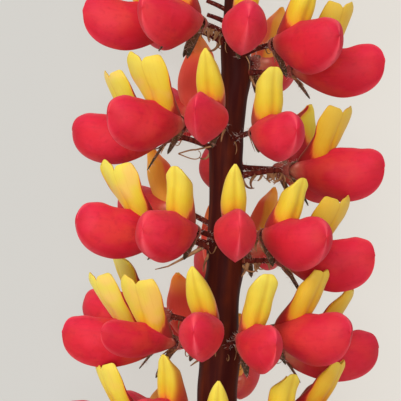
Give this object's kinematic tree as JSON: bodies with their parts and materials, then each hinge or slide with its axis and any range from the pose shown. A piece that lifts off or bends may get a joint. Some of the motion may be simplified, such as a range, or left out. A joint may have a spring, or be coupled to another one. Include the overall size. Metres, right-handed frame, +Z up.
{
  "type": "lupin flower spike",
  "caption": "Cut lupin spike laid on its side: whorls of crimson pea flowers with yellow banners round a dark stem, bud tip and bare stalk.",
  "frame": {"origin": "middle of the footprint, on the surface that the spike lies on", "axes": "+Y along the stem towards the tip of the spike, +Z up from the surface, +X across the spike"},
  "size_m": [0.0524, 0.1914, 0.0477],
  "materials": {
    "wing_petals": "satin",
    "banner_petals": "satin",
    "calyx_skin": "matte",
    "stem_skin": "satin",
    "bud_skin": "satin"
  },
  "bodies": {
    "root": {"stem": "stem_skin", "whorl_1_flower_1": "wing_petals", "whorl_1_flower_2": "wing_petals", "whorl_1_flower_3": "wing_petals", "whorl_1_flower_4": "wing_petals", "whorl_1_flower_5": "wing_petals", "whorl_1_flower_6": "wing_petals", "whorl_1_flower_7": "wing_petals", "whorl_1_flower_8": "wing_petals", "whorl_2_flower_1": "wing_petals", "whorl_2_flower_2": "wing_petals", "whorl_2_flower_3": "wing_petals", "whorl_2_flower_4": "wing_petals", "whorl_2_flower_5": "wing_petals", "whorl_2_flower_6": "wing_petals", "whorl_2_flower_7": "wing_petals", "whorl_2_flower_8": "wing_petals", "whorl_3_flower_1": "wing_petals", "whorl_3_flower_2": "wing_petals", "whorl_3_flower_3": "wing_petals", "whorl_3_flower_4": "wing_petals", "whorl_3_flower_5": "wing_petals", "whorl_3_flower_6": "wing_petals", "whorl_3_flower_7": "wing_petals", "whorl_3_flower_8": "wing_petals", "whorl_3_flower_9": "wing_petals", "whorl_4_flower_1": "wing_petals", "whorl_4_flower_2": "wing_petals", "whorl_4_flower_3": "wing_petals", "whorl_4_flower_4": "wing_petals", "whorl_4_flower_5": "wing_petals", "whorl_4_flower_6": "wing_petals", "whorl_4_flower_7": "wing_petals", "whorl_4_flower_8": "wing_petals", "whorl_5_flower_1": "wing_petals", "whorl_5_flower_2": "wing_petals", "whorl_5_flower_3": "wing_petals", "whorl_5_flower_4": "wing_petals", "whorl_5_flower_5": "wing_petals", "whorl_5_flower_6": "wing_petals", "whorl_5_flower_7": "wing_petals", "whorl_5_flower_8": "wing_petals", "whorl_6_flower_1": "wing_petals", "whorl_6_flower_2": "wing_petals", "whorl_6_flower_3": "wing_petals", "whorl_6_flower_4": "wing_petals", "whorl_6_flower_5": "wing_petals", "whorl_6_flower_6": "wing_petals", "whorl_6_flower_7": "wing_petals", "whorl_7_flower_1": "wing_petals", "whorl_7_flower_2": "wing_petals", "whorl_7_flower_3": "wing_petals", "whorl_7_flower_4": "wing_petals", "whorl_7_flower_5": "wing_petals", "whorl_7_flower_6": "wing_petals", "whorl_8_flower_1": "wing_petals", "whorl_8_flower_2": "wing_petals", "whorl_8_flower_3": "wing_petals", "whorl_8_flower_4": "wing_petals", "whorl_8_flower_5": "wing_petals"}
  },
  "joints": []
}
